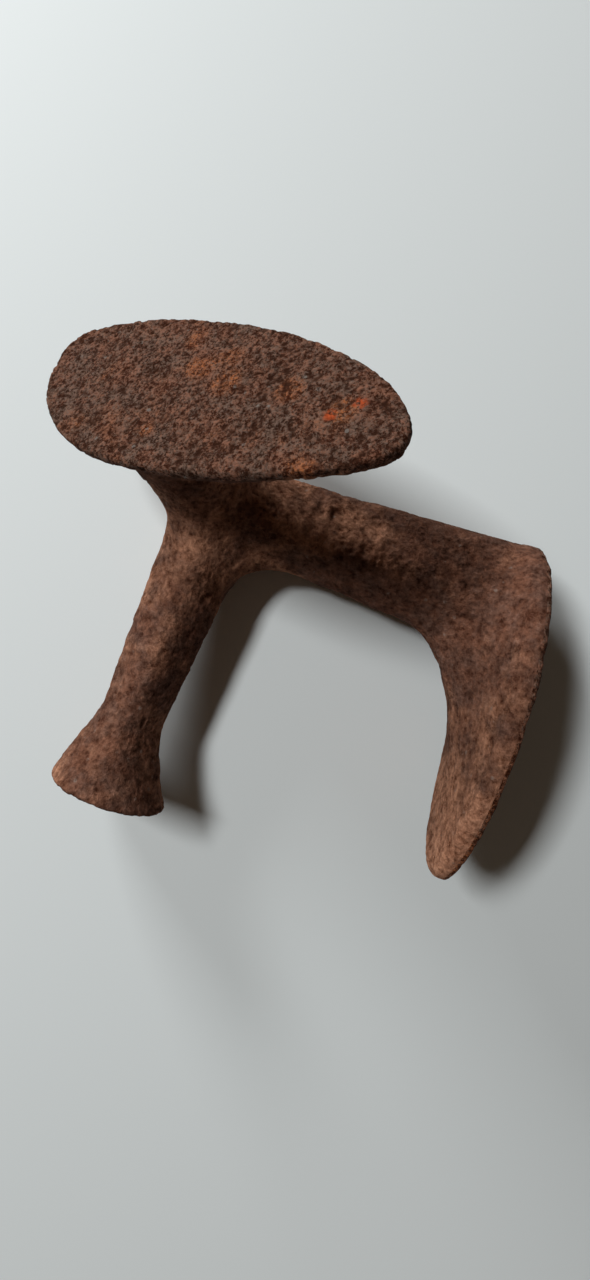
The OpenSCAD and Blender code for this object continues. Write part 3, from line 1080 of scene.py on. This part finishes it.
def tint_group():
    """Colour and roughness of rust: brown and deeper areas with warm ones; grains that are partly the rust's
    own lighter and darker tone and partly painted light on their high tops and painted shade in their low
    hollows;
    pale dust with a painted highlight on the grain tops; pits in the rust's dark colour with painted shade;
    bright spots where the rust is fresh, and a few pale flecks. The ramps' limits are values of the noise,
    which mostly lies between 0.3 and 0.7."""
    if "rust_tint" in bpy.data.node_groups:
        return bpy.data.node_groups["rust_tint"]
    colours = [(label, "Color") for label in ("Dark", "Body", "Shade", "Warm", "Fresh", "Dust")]
    masks = [(label, "Float") for label in ("Grain size", "Contrast", "Variety", "Stand", "Grain", "Warmth",
                                            "Freshness")]
    group, given, put = new_group("rust_tint", [("Vector", "Vector")] + masks + colours,
                                  [("Color", "Color"), ("Roughness", "Float")])
    where, size, grain, stand = (given[label] for label in ("Vector", "Grain size", "Grain", "Stand"))
    plus, minus, times = (partial(maths, group, operation) for operation in ("ADD", "SUBTRACT", "MULTIPLY"))
    hue = noise(group, where, size, 3.0, 0.6, 3.0)
    varied = times(minus(hue, 0.5), given["Variety"])
    patches = noise(group, where, SHADE_SIZE, 4.0, 0.55, 4.0)
    deeper = ramp(group, plus(varied, patches), 0.3, 0.7)
    tint = mixed(group, deeper, given["Body"], given["Shade"])
    area = noise(group, where, WARM_SIZE, 5.0, 0.6, 5.0)
    reach = plus(area, times(given["Warmth"], WARM_REACH))
    gaps = ramp(group, noise(group, where, size, 3.0, 0.6, 6.0), 0.4, 0.68, 0.65, 0.0)
    speckle = minus(1.0, times(gaps, given["Variety"]))
    tint = mixed(group, times(ramp(group, reach, 0.52, 0.82), speckle), tint, given["Warm"])
    # Painted light and shade on the grains, over their own tone: the high ones lighter and greyer, the low
    # ones darker
    lighter = times(minus(grain, 0.5), given["Contrast"])
    shading = mixed(group, plus(lighter, 0.5), LOW_GRAIN_TONE_AND_SHADE, HIGH_GRAIN_TONE_AND_LIGHT)
    tint = mixed(group, 1.0, tint, shading, "MULTIPLY")
    # Pale dust and a painted highlight on the high grain tops
    dust_and_highlight_mask = times(ramp(group, grain, 0.56, 0.74), ramp(group, stand, 0.55, 0.9))
    tint = mixed(group, times(dust_and_highlight_mask, DUST_AND_HIGHLIGHT_COVER), tint, given["Dust"])
    # Painted shade in the pits, over the rust's own dark colour there: darker where a point stands lower
    level = times(ramp(group, stand, 0.2, 0.75), ramp(group, grain, 0.28, 0.44, 0.3, 1.0))
    depth = maths(group, "MINIMUM", times(given["Contrast"], PIT_DARKNESS), 1.0)
    tint = mixed(group, times(minus(1.0, level), depth), tint, given["Dark"])
    broken = ramp(group, noise(group, where, FRESH_SIZE, 3.0, 0.6, 7.0), 0.4, 0.56)
    tint = mixed(group, times(given["Freshness"], broken), tint, given["Fresh"])
    near, value = cells(group, where, FLECK_SIZE)
    chosen = add_node(group, "ShaderNodeSeparateColor", {0: value}).outputs[0]
    fleck = times(ramp(group, near, 0.14, 0.26, 1.0, 0.0), ramp(group, chosen, 0.84, 0.88))
    ragged = times(fleck, ramp(group, grain, 0.42, 0.58))
    tint = mixed(group, times(ragged, given["Variety"]), tint, FLECK_COLOUR)
    group.links.new(tint, put["Color"])
    group.links.new(ramp(group, stand, 0.2, 0.9, 0.98, 0.85), put["Roughness"])
    return group


BUMP_HEIGHT = 1.2 * MM
RUST_SHEEN = 0.06


def rust_material(slot):
    """The rust finish of a material slot."""
    name = f"{slot}_finish"
    if name in bpy.data.materials:
        return bpy.data.materials[name]
    anvil = bpy.context.scene.anvil
    rust = anvil.rust
    finish = anvil.sole_finish if slot == "rusted_sole" else anvil.leg_finish
    material = bpy.data.materials.new(name)
    material.use_nodes = True
    tree = material.node_tree
    shader = tree.nodes["Principled BSDF"]
    shader.inputs["Specular IOR Level"].default_value = RUST_SHEEN
    where = add_node(tree, "ShaderNodeTexCoord").outputs["Object"]
    stand, warm, fresh = (add_node(tree, "ShaderNodeAttribute", attribute_name=label).outputs["Fac"]
                          for label in COATS)
    relief = add_node(tree, "ShaderNodeGroup", {"Vector": where, "Grain size": finish.grain},
                      node_tree=relief_group())
    inputs = {"Vector": where, "Stand": stand, "Grain": relief.outputs["Grain"], "Warmth": warm,
              "Freshness": fresh, "Grain size": finish.grain, "Contrast": finish.contrast,
              "Variety": finish.variety}
    colours = {"Dark": rust.dark, "Body": rust.body, "Shade": finish.shade, "Warm": finish.warm,
               "Fresh": rust.fresh, "Dust": rust.dust_and_highlight}
    for label, rgb in colours.items():
        inputs[label] = (*(finish.tone * value for value in rgb), 1)
    tint = add_node(tree, "ShaderNodeGroup", node_tree=tint_group())
    set_inputs(tree, tint, inputs)
    bump = add_node(tree, "ShaderNodeBump", {"Strength": finish.bump, "Distance": BUMP_HEIGHT,
                                             "Height": relief.outputs["Height"]})
    tree.links.new(tint.outputs["Color"], shader.inputs["Base Color"])
    tree.links.new(tint.outputs["Roughness"], shader.inputs["Roughness"])
    tree.links.new(bump.outputs["Normal"], shader.inputs["Normal"])
    return material


# Stage

# The camera's sensor in millimetres and the nearest that it sees, and the floor's finish
SENSOR_MM = 36
NEAREST = 10 * MM
FLOOR_ROUGHNESS = 0.7
FLOOR_SHEEN = 0.2


def looking(place_at, aim, up):
    """A transform that stands at one point and looks at another, with a direction upwards in the picture."""
    back = (Vector(place_at) - Vector(aim)).normalized()
    right = Vector(up).cross(back).normalized()
    turn = Matrix((right, back.cross(right), back)).transposed().to_4x4()
    return Matrix.Translation(place_at) @ turn


def build_camera(stage):
    """The camera at the photograph's viewing angle, with its picture shifted to the lens's axis."""
    camera = bpy.data.cameras.new("camera")
    camera.sensor_width = camera.sensor_height = SENSOR_MM
    camera.lens = stage.focal_pixels / stage.picture_height * camera.sensor_height
    camera.shift_y = (stage.axis_row - stage.picture_height / 2) / stage.picture_height
    camera.clip_start = NEAREST
    holder = bpy.data.objects.new("camera", camera)
    holder.matrix_world = looking(stage.camera_place, stage.camera_aim, (0, 1, 0))
    bpy.context.scene.collection.objects.link(holder)
    bpy.context.scene.camera = holder


def build_floor(stage):
    """A plain pale floor under the anvil."""
    mesh = bpy.data.meshes.new("floor")
    half = stage.floor_half
    corners = [(-half, -half, 0), (half, -half, 0), (half, half, 0), (-half, half, 0)]
    mesh.from_pydata(corners, [], [(0, 1, 2, 3)])
    material = bpy.data.materials.new("pale_floor")
    material.use_nodes = True
    shader = material.node_tree.nodes["Principled BSDF"]
    shader.inputs["Base Color"].default_value = (*stage.floor_colour, 1)
    shader.inputs["Roughness"].default_value = FLOOR_ROUGHNESS
    shader.inputs["Specular IOR Level"].default_value = FLOOR_SHEEN
    mesh.materials.append(material)
    floor = bpy.data.objects.new("floor", mesh)
    bpy.context.scene.collection.objects.link(floor)


def build_light(anvil):
    """A window on the left, a low glass door behind, and a weak warm light from all round."""
    for name in ("window", "door"):
        sizes = getattr(anvil, name)
        light = bpy.data.lights.new(name, "AREA")
        light.shape = "RECTANGLE"
        light.size = sizes.width
        light.size_y = sizes.height
        light.energy = sizes.power
        holder = bpy.data.objects.new(name, light)
        holder.matrix_world = looking(sizes.place, (0, 0, 0), (0, 0, 1))
        bpy.context.scene.collection.objects.link(holder)
    world = bpy.context.scene.world or bpy.data.worlds.new("sky")
    bpy.context.scene.world = world
    world.use_nodes = True
    sky = world.node_tree.nodes["Background"]
    sky.inputs["Color"].default_value = (*anvil.stage.sky_colour, 1)
    sky.inputs["Strength"].default_value = anvil.stage.sky


# Operators

class ANVIL_OT_stage(bpy.types.Operator):
    """Add the camera, the pale floor and the soft light"""
    bl_idname = "anvil.stage"
    bl_label = "Stage"

    def execute(self, context):
        anvil = context.scene.anvil
        context.scene.view_settings.view_transform = "Standard"
        build_camera(anvil.stage)
        build_floor(anvil.stage)
        build_light(anvil)
        return {"FINISHED"}


class ANVIL_OT_hub(bpy.types.Operator):
    """Add the hub where the three legs run together"""
    bl_idname = "anvil.hub"
    bl_label = "Hub"

    def execute(self, context):
        build_hub(context.scene.anvil)
        return {"FINISHED"}


class ANVIL_OT_large_foot(bpy.types.Operator):
    """Add the large sole and its leg"""
    bl_idname = "anvil.large_foot"
    bl_label = "Large foot"

    def execute(self, context):
        build_large_foot(context.scene.anvil)
        return {"FINISHED"}


class ANVIL_OT_small_foot(bpy.types.Operator):
    """Add the small sole and its leg"""
    bl_idname = "anvil.small_foot"
    bl_label = "Small foot"

    def execute(self, context):
        build_small_foot(context.scene.anvil)
        return {"FINISHED"}


class ANVIL_OT_heel_foot(bpy.types.Operator):
    """Add the bell-shaped heel foot and its leg"""
    bl_idname = "anvil.heel_foot"
    bl_label = "Heel foot"

    def execute(self, context):
        build_heel(context.scene.anvil)
        return {"FINISHED"}


class ANVIL_PT_panel(bpy.types.Panel):
    """Lists the anvil's pieces and settings"""
    bl_idname = "ANVIL_PT_panel"
    bl_label = "Cobbler Anvil"
    bl_space_type = "VIEW_3D"
    bl_region_type = "UI"
    bl_category = "Anvil"

    def draw(self, context):
        for operator in OPERATORS:
            self.layout.operator(operator.bl_idname)
        for name in GROUPS:
            self.layout.label(text=name.replace("_", " ").capitalize())
            group = getattr(context.scene.anvil, name)
            for setting in type(group).__annotations__:
                self.layout.prop(group, setting)


OPERATORS = (ANVIL_OT_stage, ANVIL_OT_hub, ANVIL_OT_large_foot, ANVIL_OT_small_foot, ANVIL_OT_heel_foot)
CLASSES = (*GROUPS.values(), AnvilSettings, *OPERATORS, ANVIL_PT_panel)


def register():
    for item in CLASSES:
        bpy.utils.register_class(item)
    bpy.types.Scene.anvil = bpy.props.PointerProperty(type=AnvilSettings)


def unregister():
    del bpy.types.Scene.anvil
    for item in reversed(CLASSES):
        bpy.utils.unregister_class(item)


def main():
    """Registers the add-on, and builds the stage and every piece."""
    register()
    bpy.ops.anvil.stage()
    bpy.ops.anvil.hub()
    bpy.ops.anvil.large_foot()
    bpy.ops.anvil.small_foot()
    bpy.ops.anvil.heel_foot()


if __name__ == "__main__":
    main()
